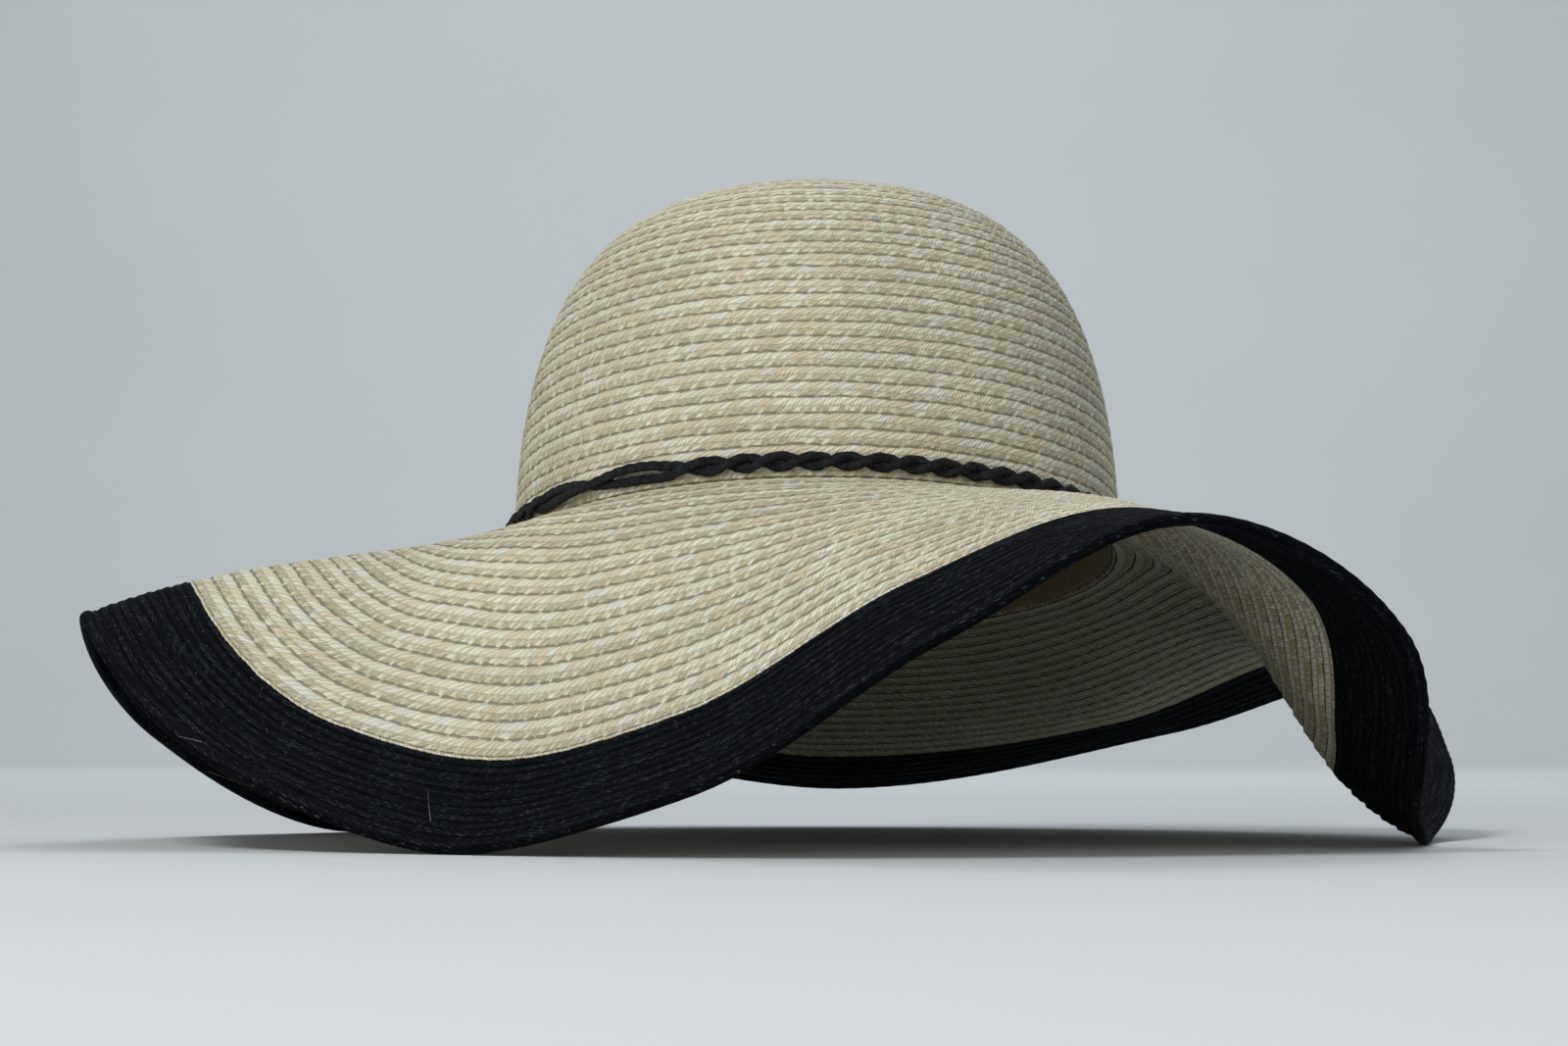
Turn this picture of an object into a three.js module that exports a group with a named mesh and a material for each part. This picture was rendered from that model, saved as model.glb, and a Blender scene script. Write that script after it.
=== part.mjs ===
// Wide-brimmed sun hat of spirally sewn straw braid. Millimetres, +Z up, -Y is the front.
// The hat is shaped upright about the centre of its head opening. It is then tilted to lie
// as it settles by itself on a flat surface, on the lowest waves of its brim.
import * as THREE from "three";

// Head opening, measured to the middle of the straw wall
const OPENING_HALF_LENGTH = 98.5;
const OPENING_HALF_WIDTH = 82.5;

// Straw braid
const WALL = 2.0;
const GAP = 0.3;

// Crown: a round dome, the powers set how full its sides and its shoulder are
const CROWN_HEIGHT = 97;
const CROWN_SIDE_POWER = 0.52;
const CROWN_RISE_POWER = 0.89;
const CROWN_BASE = 1.6;
const CROWN_FLAT_SHARE = 0.2;

// Brim: rows of natural braid, then rows of dark braid out to a rolled edge
const BRIM_WIDTH = 121;
const NATURAL_WIDTH = 90;
const ROLL_WIDTH = 4;
const ROLL_SHOULDER = 1.2;
const ROLL_THICKNESS = 3.2;

// Waves of the brim around the head, azimuths from the front towards the hat's right side.
// start, middle and end are the brim's slope along its width, in degrees above level.
// swing is how far a line across the brim has turned sideways by the time it meets the edge.
const WAVES = [
  { azimuth: -180, start: -15, middle: -15, end: -5, swing: -10 },
  { azimuth: -155, start: -15, middle: -10, end: -5, swing: -10 },
  { azimuth: -130, start: -15, middle: -35, end: -5, swing: -15 },
  { azimuth: -105, start: -20, middle: -25, end: 5, swing: 0 },
  { azimuth: -80, start: -5, middle: -10, end: -25, swing: 5 },
  { azimuth: -55, start: -10, middle: -55, end: -10, swing: -10 },
  { azimuth: -35, start: -25, middle: -70, end: -40, swing: -10 },
  { azimuth: -15, start: -25, middle: -60, end: -40, swing: 20 },
  { azimuth: 5, start: -25, middle: -30, end: -40, swing: 10 },
  { azimuth: 25, start: -15, middle: -15, end: -15, swing: -5 },
  { azimuth: 45, start: 0, middle: -30, end: -25, swing: 5 },
  { azimuth: 65, start: -20, middle: -50, end: -45, swing: 0 },
  { azimuth: 85, start: 0, middle: -60, end: -10, swing: 15 },
  { azimuth: 105, start: 10, middle: -30, end: -25, swing: 15 },
  { azimuth: 125, start: -5, middle: -5, end: -5, swing: 0 },
  { azimuth: 150, start: -15, middle: -10, end: 10, swing: -5 },
];

// Band: two cords around the foot of the crown. The upper one has worked loose at the front left.
const CORD_DIAMETER = 2.2;
const LOWER_CORD_HEIGHT = 3.3;
const LOOSE_AZIMUTH = -41;
const LOOSE_HALF_SPAN = 17;
const LOOSE_RISE = 3.4;

// Sweatband inside the foot of the crown
const SWEATBAND_HEIGHT = 30;
const SWEATBAND_THICKNESS = 1.2;

// Facets
const BRIM_SECTORS = 90;
const BRIM_RINGS = 8;
const CROWN_SECTORS = 60;
const CORD_SECTORS = 64;
const CORD_SIDES = 6;

// Rings of the crown from its flat tip, at 1, down to its foot, at 0
const CROWN_RINGS = [1, 0.86, 0.72, 0.58, 0.44, 0.3, 0.16, 0.06, 0];

// Steps of the two searches along the brim's slope and for the resting surface
const SLOPE_STEPS = 40;
const SETTLE_STEPS = 60;

const FULL_TURN = 360;
const toRadians = THREE.MathUtils.degToRad;

function modulo(value, period) {
  return ((value % period) + period) % period;
}

function evenAzimuths(sectors) {
  return Array.from({ length: sectors }, (_, i) => (i * FULL_TURN) / sectors);
}

// Value of one column of WAVES at any azimuth: a smooth closed curve through the table's rows.
function waveAt(column, azimuth) {
  const count = WAVES.length;
  const row = (i) => {
    const wave = WAVES[modulo(i, count)];
    return { x: wave.azimuth + FULL_TURN * Math.floor(i / count), y: wave[column] };
  };
  const steepness = (i) => {
    const [before, here, after] = [row(i - 1), row(i), row(i + 1)];
    const left = here.x - before.x;
    const right = after.x - here.x;
    return (((here.y - before.y) / left) * right + ((after.y - here.y) / right) * left) / (left + right);
  };
  const x = modulo(azimuth - WAVES[0].azimuth, FULL_TURN) + WAVES[0].azimuth;
  let i = count - 1;
  while (WAVES[i].azimuth > x) i -= 1;
  const [here, after] = [row(i), row(i + 1)];
  const span = after.x - here.x;
  const t = (x - here.x) / span;
  return (
    here.y * (1 + 2 * t) * (1 - t) ** 2 +
    after.y * (3 - 2 * t) * t ** 2 +
    span * (steepness(i) * t * (1 - t) ** 2 - steepness(i + 1) * t ** 2 * (1 - t))
  );
}

// Point and outward direction on the oval of the head opening.
function openingAt(azimuth) {
  const turn = toRadians(azimuth);
  const x = OPENING_HALF_WIDTH * Math.sin(turn);
  const y = -OPENING_HALF_LENGTH * Math.cos(turn);
  const outward = new THREE.Vector3(x / OPENING_HALF_WIDTH ** 2, y / OPENING_HALF_LENGTH ** 2, 0);
  return { point: new THREE.Vector3(x, y, 0), outward: outward.normalize() };
}

// Middle of the crown's wall: climb runs from 0 at the head opening to 1 at the tip.
function crownPoint(azimuth, climb) {
  const angle = (climb * Math.PI) / 2;
  const reach = Math.cos(angle) ** CROWN_SIDE_POWER;
  const point = openingAt(azimuth).point.multiplyScalar(reach);
  point.z = CROWN_HEIGHT * Math.sin(angle) ** CROWN_RISE_POWER;
  return point;
}

function climbOfHeight(height) {
  return (Math.asin((height / CROWN_HEIGHT) ** (1 / CROWN_RISE_POWER)) * 2) / Math.PI;
}

function climbOfReach(share) {
  return (Math.acos(share ** (1 / CROWN_SIDE_POWER)) * 2) / Math.PI;
}

// Middle of the brim's wall: walks outward from the head opening along the brim's slope.
function brimPoint(azimuth, distance) {
  const { point, outward } = openingAt(azimuth);
  const start = toRadians(waveAt("start", azimuth));
  const middle = toRadians(waveAt("middle", azimuth));
  const end = toRadians(waveAt("end", azimuth));
  const swing = toRadians(waveAt("swing", azimuth));
  const stride = distance / SLOPE_STEPS;
  const up = new THREE.Vector3(0, 0, 1);
  for (let step = 0; step < SLOPE_STEPS; step += 1) {
    const share = ((step + 0.5) * stride) / BRIM_WIDTH;
    const slope =
      start * (1 - share) * (1 - 2 * share) +
      middle * 4 * share * (1 - share) +
      end * share * (2 * share - 1);
    const heading = outward.clone().applyAxisAngle(up, swing * share);
    point.addScaledVector(heading, Math.cos(slope) * stride);
    point.z += Math.sin(slope) * stride;
  }
  return point;
}

// Outward direction of a wall whose grid runs away from the crown's tip, then around the head.
function gridNormal(grid, i, j) {
  const line = grid[i];
  const along = line[Math.min(j + 1, line.length - 1)].clone().sub(line[Math.max(j - 1, 0)]);
  const nextLine = grid[(i + 1) % grid.length];
  const lastLine = grid[(i + grid.length - 1) % grid.length];
  const across = nextLine[j].clone().sub(lastLine[j]);
  return along.cross(across).normalize();
}

// Closed wall about a grid of middle points. A capped wall is closed at its first ring by a flat disc.
function wallGeometry(grid, halfThicknesses, capped = false) {
  const rows = grid[0].length;
  const positions = [];
  for (const side of [1, -1]) {
    grid.forEach((line, i) => {
      line.forEach((middle, j) => {
        const normal = capped && j === 0 ? new THREE.Vector3(0, 0, 1) : gridNormal(grid, i, j);
        positions.push(...middle.clone().addScaledVector(normal, side * halfThicknesses[j]).toArray());
      });
    });
  }
  const sectors = grid.length;
  const outer = (i, j) => (i % sectors) * rows + j;
  const inner = (i, j) => sectors * rows + outer(i, j);
  const triangles = [];
  const quad = (a, b, c, d) => triangles.push(a, b, c, a, c, d);
  for (let i = 0; i < sectors; i += 1) {
    for (let j = 0; j < rows - 1; j += 1) {
      quad(outer(i, j), outer(i, j + 1), outer(i + 1, j + 1), outer(i + 1, j));
      quad(inner(i, j), inner(i + 1, j), inner(i + 1, j + 1), inner(i, j + 1));
    }
    quad(outer(i, rows - 1), inner(i, rows - 1), inner(i + 1, rows - 1), outer(i + 1, rows - 1));
    if (!capped) quad(outer(i, 0), outer(i + 1, 0), inner(i + 1, 0), inner(i, 0));
  }
  if (capped) {
    const height = grid[0][0].z;
    const outerTip = positions.length / 3;
    const innerTip = outerTip + 1;
    positions.push(0, 0, height + halfThicknesses[0], 0, 0, height - halfThicknesses[0]);
    for (let i = 0; i < sectors; i += 1) {
      triangles.push(outerTip, outer(i, 0), outer(i + 1, 0));
      triangles.push(innerTip, inner(i + 1, 0), inner(i, 0));
    }
  }
  return solidGeometry(positions, triangles);
}

function solidGeometry(positions, triangles) {
  const geometry = new THREE.BufferGeometry();
  geometry.setAttribute("position", new THREE.Float32BufferAttribute(positions, 3));
  geometry.setIndex(triangles);
  geometry.computeVertexNormals();
  return geometry;
}

// Closed cord around the crown's foot, at a height that may change with the azimuth.
function cordGeometry(heightAt) {
  const positions = [];
  const triangles = [];
  const radius = CORD_DIAMETER / 2;
  const standOff = WALL / 2 + GAP + radius;
  evenAzimuths(CORD_SECTORS).forEach((azimuth, i) => {
    const height = heightAt(azimuth);
    const { outward } = openingAt(azimuth);
    const centre = crownPoint(azimuth, climbOfHeight(height)).addScaledVector(outward, standOff);
    for (let side = 0; side < CORD_SIDES; side += 1) {
      const angle = ((side + 0.5) * 2 * Math.PI) / CORD_SIDES;
      const corner = centre.clone().addScaledVector(outward, Math.cos(angle) * radius);
      corner.z += Math.sin(angle) * radius;
      positions.push(...corner.toArray());
      const nextSide = (side + 1) % CORD_SIDES;
      const here = i * CORD_SIDES;
      const after = ((i + 1) % CORD_SECTORS) * CORD_SIDES;
      triangles.push(here + side, after + side, after + nextSide);
      triangles.push(here + side, after + nextSide, here + nextSide);
    }
  });
  return solidGeometry(positions, triangles);
}

function looseRise(azimuth) {
  const offset = modulo(azimuth - LOOSE_AZIMUTH + FULL_TURN / 2, FULL_TURN) - FULL_TURN / 2;
  if (Math.abs(offset) >= LOOSE_HALF_SPAN) return 0;
  return (LOOSE_RISE * (1 + Math.cos((Math.PI * offset) / LOOSE_HALF_SPAN))) / 2;
}

function crownGeometry() {
  const lowest = climbOfHeight(CROWN_BASE);
  const highest = climbOfReach(CROWN_FLAT_SHARE);
  const climbs = CROWN_RINGS.map((ring) => lowest + (highest - lowest) * ring);
  const grid = evenAzimuths(CROWN_SECTORS).map((azimuth) =>
    climbs.map((climb) => crownPoint(azimuth, climb)),
  );
  return wallGeometry(grid, climbs.map(() => WALL / 2), true);
}

function brimGrid(distances) {
  return evenAzimuths(BRIM_SECTORS).map((azimuth) =>
    distances.map((distance) => brimPoint(azimuth, distance)),
  );
}

function brimGeometry() {
  const innerEdge = GAP - WALL / 2;
  const spacing = (NATURAL_WIDTH - GAP / 2 - innerEdge) / (BRIM_RINGS - 1);
  const distances = Array.from({ length: BRIM_RINGS }, (_, j) => innerEdge + spacing * j);
  return wallGeometry(brimGrid(distances), distances.map(() => WALL / 2));
}

// Dark border: a flat wall that ends in a rolled edge.
function borderGeometry() {
  const rollStart = BRIM_WIDTH - ROLL_WIDTH;
  const profile = [
    { distance: NATURAL_WIDTH + GAP / 2, thickness: WALL },
    { distance: NATURAL_WIDTH + (rollStart - NATURAL_WIDTH) / 2, thickness: WALL },
    { distance: rollStart, thickness: WALL },
    { distance: rollStart + ROLL_SHOULDER, thickness: ROLL_THICKNESS },
    { distance: BRIM_WIDTH - ROLL_SHOULDER, thickness: ROLL_THICKNESS },
    { distance: BRIM_WIDTH, thickness: ROLL_THICKNESS / 2 },
  ];
  const grid = brimGrid(profile.map((ring) => ring.distance));
  return wallGeometry(grid, profile.map((ring) => ring.thickness / 2));
}

function sweatbandGeometry() {
  const inset = WALL / 2 + GAP + SWEATBAND_THICKNESS / 2;
  const heights = [SWEATBAND_HEIGHT, SWEATBAND_HEIGHT / 2, 0];
  const grid = evenAzimuths(CROWN_SECTORS).map((azimuth) =>
    heights.map((height) =>
      crownPoint(azimuth, climbOfHeight(height)).addScaledVector(openingAt(azimuth).outward, -inset),
    ),
  );
  return wallGeometry(grid, heights.map(() => SWEATBAND_THICKNESS / 2));
}

// Slopes of the flat surface that the hat comes to rest on, found from the points it may touch.
// It is the plane under all of them that passes highest below the centre of the head opening.
function restingPlane(points) {
  const clearanceAt = (slopeX, slopeY) => {
    let lowest = Infinity;
    for (const { x, y, z } of points) lowest = Math.min(lowest, z - slopeX * x - slopeY * y);
    return lowest;
  };
  const peak = (measure) => {
    let [low, high] = [-1, 1];
    for (let step = 0; step < SETTLE_STEPS; step += 1) {
      const third = (high - low) / 3;
      if (measure(low + third) < measure(high - third)) low += third;
      else high -= third;
    }
    return (low + high) / 2;
  };
  const bestSlopeY = (slopeX) => peak((slopeY) => clearanceAt(slopeX, slopeY));
  const slopeX = peak((slope) => clearanceAt(slope, bestSlopeY(slope)));
  return { slopeX, slopeY: bestSlopeY(slopeX) };
}

function pointsOf(geometry) {
  const position = geometry.getAttribute("position");
  const points = [];
  for (let i = 0; i < position.count; i += 1) {
    points.push(new THREE.Vector3().fromBufferAttribute(position, i));
  }
  return points;
}

// Materials
const naturalStraw = new THREE.MeshStandardMaterial({ color: 0xcdbf9c, roughness: 0.8, metalness: 0 });
const darkStraw = new THREE.MeshStandardMaterial({ color: 0x16181c, roughness: 0.75, metalness: 0 });
const darkCord = new THREE.MeshStandardMaterial({ color: 0x121316, roughness: 0.7, metalness: 0 });
const tanRibbon = new THREE.MeshStandardMaterial({ color: 0x8a6f4a, roughness: 0.9, metalness: 0 });

function namedMesh(name, geometry, material) {
  const mesh = new THREE.Mesh(geometry, material);
  mesh.name = name;
  return mesh;
}

const border = borderGeometry();
const lowerCord = cordGeometry(() => LOWER_CORD_HEIGHT);
const upperCordHeight = LOWER_CORD_HEIGHT + CORD_DIAMETER + GAP;
const upperCord = cordGeometry((azimuth) => upperCordHeight + looseRise(azimuth));
const hat = new THREE.Group();
hat.add(
  namedMesh("crown", crownGeometry(), naturalStraw),
  namedMesh("brim", brimGeometry(), naturalStraw.clone()),
  namedMesh("brim_border", border, darkStraw),
  namedMesh("band_cord_lower", lowerCord, darkCord),
  namedMesh("band_cord_upper", upperCord, darkCord.clone()),
  namedMesh("sweatband", sweatbandGeometry(), tanRibbon),
);

// Lay the hat on the plane that it settles on, then centre it over the origin.
const plane = restingPlane(pointsOf(border));
const surfaceNormal = new THREE.Vector3(-plane.slopeX, -plane.slopeY, 1).normalize();
hat.quaternion.setFromUnitVectors(surfaceNormal, new THREE.Vector3(0, 0, 1));
const box = new THREE.Box3().setFromObject(hat, true);
hat.position.set(-(box.min.x + box.max.x) / 2, -(box.min.y + box.max.y) / 2, -box.min.z);

const group = new THREE.Group();
group.add(hat);
export default group;
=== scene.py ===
import math

import bpy
import numpy as np
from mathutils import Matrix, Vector


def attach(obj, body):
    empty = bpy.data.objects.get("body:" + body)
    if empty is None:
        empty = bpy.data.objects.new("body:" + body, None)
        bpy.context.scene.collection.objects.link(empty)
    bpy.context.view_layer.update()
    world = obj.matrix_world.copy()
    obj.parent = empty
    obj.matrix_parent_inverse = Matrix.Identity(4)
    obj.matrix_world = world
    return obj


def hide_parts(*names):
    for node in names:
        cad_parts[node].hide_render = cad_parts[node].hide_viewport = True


# Fine surface, materials, light and camera of the straw sun hat. The shapes are worked out in
# millimetres about the centre of the head opening, with the crown upright, and then laid as
# the hat rests. Azimuths run from the front, which is -Y, towards +X, in degrees.

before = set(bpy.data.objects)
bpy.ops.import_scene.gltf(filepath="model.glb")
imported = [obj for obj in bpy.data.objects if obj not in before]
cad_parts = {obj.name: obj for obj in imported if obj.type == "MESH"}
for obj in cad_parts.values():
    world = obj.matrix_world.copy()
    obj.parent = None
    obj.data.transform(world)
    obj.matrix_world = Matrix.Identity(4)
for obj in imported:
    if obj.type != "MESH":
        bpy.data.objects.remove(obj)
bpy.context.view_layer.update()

# Where the hat lies: the crown's axis and the centre of the head opening, in metres
CROWN_AXIS = Vector((-0.000743, 0.171276, 0.985223))
OPENING_CENTRE = np.array((0.009104, 0.000059, 0.077645))
MILLIMETRE = 0.001

# Head opening and crown, measured to the middle of the straw wall
OPENING_HALF_LENGTH = 98.5
OPENING_HALF_WIDTH = 82.5
CROWN_HEIGHT = 97
CROWN_SIDE_POWER = 0.52
CROWN_RISE_POWER = 0.89
CROWN_FOOT = 0.6
CROWN_ROWS = 37

# Brim: rows of natural braid, then rows of dark braid out to a rolled edge. The waves are the
# brim's slope at the start, middle and end of its width and its swing sideways, in degrees.
BRIM_WIDTH = 121
NATURAL_WIDTH = 90
NATURAL_ROWS = 17
DARK_ROWS = 6
WAVES = [
    {"azimuth": -180, "start": -15, "middle": -15, "end": -5, "swing": -10},
    {"azimuth": -155, "start": -15, "middle": -10, "end": -5, "swing": -10},
    {"azimuth": -130, "start": -15, "middle": -35, "end": -5, "swing": -15},
    {"azimuth": -105, "start": -20, "middle": -25, "end": 5, "swing": 0},
    {"azimuth": -80, "start": -5, "middle": -10, "end": -25, "swing": 5},
    {"azimuth": -55, "start": -10, "middle": -55, "end": -10, "swing": -10},
    {"azimuth": -35, "start": -25, "middle": -70, "end": -40, "swing": -10},
    {"azimuth": -15, "start": -25, "middle": -60, "end": -40, "swing": 20},
    {"azimuth": 5, "start": -25, "middle": -30, "end": -40, "swing": 10},
    {"azimuth": 25, "start": -15, "middle": -15, "end": -15, "swing": -5},
    {"azimuth": 45, "start": 0, "middle": -30, "end": -25, "swing": 5},
    {"azimuth": 65, "start": -20, "middle": -50, "end": -45, "swing": 0},
    {"azimuth": 85, "start": 0, "middle": -60, "end": -10, "swing": 15},
    {"azimuth": 105, "start": 10, "middle": -30, "end": -25, "swing": 15},
    {"azimuth": 125, "start": -5, "middle": -5, "end": -5, "swing": 0},
    {"azimuth": 150, "start": -15, "middle": -10, "end": 10, "swing": -5},
]

# Cross-section of one row, as share of its width and height over the half wall: a seam, a high
# pale lobe like a rope, a shallow valley and a lower golden lobe
HALF_WALL = 0.85
OUTSIDE_ROW = [(0.0, -0.2), (0.25, 0.28), (0.52, 0.0), (0.76, 0.12)]
INSIDE_ROW = [(0.0, -0.4), (0.22, 0.3), (0.5, 0.0), (0.75, 0.08)]
CROWN_LINING_ROW = [(0.0, -0.3), (0.5, 0.2)]

# Plaits along a row: each one puffs up the row, closes the seam and bulges over the next row
PLAIT_LENGTH = 5.5
PLAIT_SLANT = 0.3
PLAIT_PUFF = 0.1
DARK_PUFF = 0.04
UNDERSIDE_PUFF_SHARE = 0.7
SEAM_CLOSURE = 0.2
SEAM_STEEPNESS = 10
EDGE_SCALLOP = 0.06
DARK_SCALLOP = 0.03
SCALLOP_STEEPNESS = 3
SCALLOP_AT = 0.9

# How far the seams wander, as a share of the row, and how many rows at the tip stay calmer
CROWN_WANDER = 0.035
UPPER_WANDER = 0.03
LOWER_WANDER = 0.02
CALM_TIP_ROWS = 4

# Irregular shifts around the head are a sum of this many waves, from the broadest up
NOISE_WAVES = 9
BROADEST_WAVE = 3

# Braid UVs are plaits along the row and the number of the row
ROW_PHASE_STEP = 0.382
INNER_SIDE_ROWS = 200
EDGE_INSET = 0.02
TIP_RING = 0.08
TIP_ROW = 0.4
TIP_PLAITS = 3

# How finely everything is cut: steps around the head, sides of a strand, steps of a line
CROWN_STEPS = 430
BRIM_STEPS = 690
BORDER_STEPS = 1000
SWEATBAND_STEPS = 1280
BAND_STEPS = 2200
BAND_SIDES = 14
EDGE_YARN_STEPS = 2600
EDGE_YARN_SIDES = 8
PROFILE_STEPS = 4000
LINE_STEP = 0.5
LINE_INWARD = 2.0
PERIMETER_STEP = 0.5
PROBE = np.array([-0.5, 0, 0.5])
PROBE_TURN = 0.3

rng = np.random.default_rng(17)


def wave_at(column, azimuth):
    """Value of one column of WAVES at any azimuths: a smooth closed curve through its rows."""
    known = np.array([wave["azimuth"] for wave in WAVES], float)
    value = np.array([wave[column] for wave in WAVES], float)
    x = np.r_[known[-1] - 360, known, known[0] + 360, known[1] + 360]
    y = np.r_[value[-1], value, value[0], value[1]]
    width = np.diff(x)
    slope = np.diff(y) / width
    tangent = (slope[:-1] * width[1:] + slope[1:] * width[:-1]) / (width[:-1] + width[1:])
    turned = (np.asarray(azimuth, float) - known[0]) % 360 + known[0]
    k = np.clip(np.searchsorted(x, turned, side="right") - 1, 1, len(WAVES))
    t = (turned - x[k]) / width[k]
    from_start = (1 + 2 * t) * (1 - t) ** 2 * y[k] + t * (1 - t) ** 2 * width[k] * tangent[k - 1]
    from_end = (3 - 2 * t) * t**2 * y[k + 1] - (1 - t) * t**2 * width[k] * tangent[k]
    return from_start + from_end


def opening_at(azimuth):
    """Points and outward directions on the oval of the head opening."""
    turn = np.radians(azimuth)
    x = OPENING_HALF_WIDTH * np.sin(turn)
    y = -OPENING_HALF_LENGTH * np.cos(turn)
    outward = np.stack([x / OPENING_HALF_WIDTH**2, y / OPENING_HALF_LENGTH**2], -1)
    outward /= np.linalg.norm(outward, axis=-1, keepdims=True)
    return np.stack([x, y], -1), outward


def along_lines(lines, spacing, start, distance):
    """Points at a table of distances on evenly spaced lines, one line for each azimuth."""
    place = np.clip((distance - start) / spacing, 0, lines.shape[1] - 1.001)
    low = place.astype(int)
    share = (place - low)[..., None]
    row = np.arange(lines.shape[0])[:, None]
    return lines[row, low] * (1 - share) + lines[row, low + 1] * share


def brim_middle(azimuth, distance):
    """Middle of the brim's wall: each line walks outwards along the brim's slope."""
    foot, outward = opening_at(azimuth)
    share = (np.arange(0, BRIM_WIDTH, LINE_STEP) + LINE_STEP / 2)[None] / BRIM_WIDTH
    start, middle, end, swing = (
        np.radians(wave_at(column, azimuth))[:, None]
        for column in ("start", "middle", "end", "swing")
    )
    slope = start * (1 - share) * (1 - 2 * share)
    slope = slope + middle * 4 * share * (1 - share) + end * share * (2 * share - 1)
    turn = swing * share
    heading_x = outward[:, :1] * np.cos(turn) - outward[:, 1:] * np.sin(turn)
    heading_y = outward[:, :1] * np.sin(turn) + outward[:, 1:] * np.cos(turn)
    step = LINE_STEP * np.stack(
        [heading_x * np.cos(slope), heading_y * np.cos(slope), np.sin(slope)], -1
    )
    inside = np.repeat(step[:, :1], round(LINE_INWARD / LINE_STEP), axis=1)
    line = np.concatenate([np.zeros((len(azimuth), 1, 3)), np.cumsum(step, 1)], 1)
    line = np.concatenate([-np.cumsum(inside, 1)[:, ::-1], line], 1)
    line[..., :2] += foot[:, None]
    return along_lines(line, LINE_STEP, -LINE_INWARD, distance)


def crown_profile():
    """Reach from the axis, as a share of the opening's, and height from the tip to the foot."""
    reach = np.sin(np.linspace(0, math.pi / 2, PROFILE_STEPS))
    angle = np.arccos(reach ** (1 / CROWN_SIDE_POWER))
    height = CROWN_HEIGHT * np.sin(angle) ** CROWN_RISE_POWER
    kept = height >= CROWN_FOOT
    reach, height = reach[kept], height[kept]
    mean_width = (OPENING_HALF_LENGTH + OPENING_HALF_WIDTH) / 2
    length = np.r_[0, np.cumsum(np.hypot(np.diff(reach) * mean_width, np.diff(height)))]
    return reach, height, length


def crown_middle(azimuth, rows):
    """Middle of the crown's wall at a table of row numbers, 0 at the tip."""
    reach, height, length = crown_profile()
    distance = np.clip(rows / CROWN_ROWS, 0, 1) * length[-1]
    share = np.interp(distance, length, reach)[..., None]
    foot, _ = opening_at(azimuth)
    return np.concatenate(
        [foot[:, None] * share, np.interp(distance, length, height)[..., None]], -1
    )


def crown_wall_at(azimuth, height, stand_off):
    """Points beside the crown's wall at given heights, moved outwards by stand_off."""
    reach, heights, _ = crown_profile()
    share = np.interp(-height, -heights, reach)
    foot, outward = opening_at(azimuth)
    flat = foot * share[:, None] + outward * stand_off[:, None]
    return np.concatenate([flat, height[:, None]], 1)


def ring_normals(points):
    """Outward normals of a grid of points that runs away from the tip and around the head."""
    across = np.gradient(points, axis=1)
    around = np.roll(points, -1, 0) - np.roll(points, 1, 0)
    normal = np.cross(across, around)
    return normal / np.linalg.norm(normal, axis=-1, keepdims=True)


def ring_lengths(rings):
    """Lengths of closed rings of points around the head."""
    return np.linalg.norm(np.roll(rings, -1, 0) - rings, axis=-1).sum(0)


def laid(points):
    """Points of the upright hat in millimetres, as they lie when it rests, in metres."""
    lean = Vector((0, 0, 1)).rotation_difference(CROWN_AXIS).to_matrix()
    return points.reshape(-1, 3) @ np.array(lean).T * MILLIMETRE + OPENING_CENTRE


def row_rings(profile, count):
    """Row numbers and heights of all rings of a number of rows, seam to seam."""
    rings = [(row + place, height) for row in range(count) for place, height in profile]
    return np.array(rings + [(count, profile[0][1])]).T


def rings_between(start, profile, count, end):
    """Rings of a number of rows, with other rings in place of the first and the last one."""
    rows, heights = row_rings(profile, count)
    return np.array(start + list(zip(rows[1:-1], heights[1:-1])) + end).T


def whole_rows(rows):
    """Number of the row that each ring belongs to, in spite of rounding."""
    return np.floor(rows + 1e-6)


def plait_counts(perimeters):
    """How many plaits each row has."""
    return np.maximum(3, np.round(perimeters / PLAIT_LENGTH)).astype(int)


def row_phase(row):
    """How far the plaits of one row are shifted along it against those of the first row."""
    return (row * ROW_PHASE_STEP) % 1.0


def plait_wave(turns, rows, counts):
    """-1 between two plaits and 1 on the middle of one, for a table of rings."""
    row = np.clip(whole_rows(rows).astype(int), 0, len(counts) - 1)
    along = turns[:, None] * counts[row][None] + row_phase(row)[None]
    return -np.cos(2 * math.pi * (along + PLAIT_SLANT * (rows - row)[None]))


def ring_turns(around):
    """Azimuths of evenly spaced lines from the back around the head, and as shares of a turn."""
    turns = np.arange(around) / around
    return turns * 360 - 180, turns


def quads(steps, rings, flip=False):
    """Steps and rings of the four corners of each quad of a grid."""
    i, j = np.meshgrid(np.arange(steps), np.arange(rings), indexing="ij")
    order = [3, 2, 1, 0] if flip else [0, 1, 2, 3]
    step = i.reshape(-1, 1) + np.array([0, 0, 1, 1])[order]
    ring = j.reshape(-1, 1) + np.array([0, 1, 1, 0])[order]
    return step, ring


def wall_side(corners, rows, counts, first_row, flip):
    """Faces and braid UVs of one side of a wall, from the numbers of its corners."""
    around, rings = corners.shape
    step, ring = quads(around, rings - 1, flip)
    middle = (rows[ring.min(1)] + rows[ring.max(1)]) / 2
    row = np.clip(np.floor(middle).astype(int), 0, len(counts) - 1)[:, None]
    along = step / around * counts[row] + row_phase(row)
    return corners[step % around, ring], np.stack([along, rows[ring] + first_row], -1)


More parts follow.
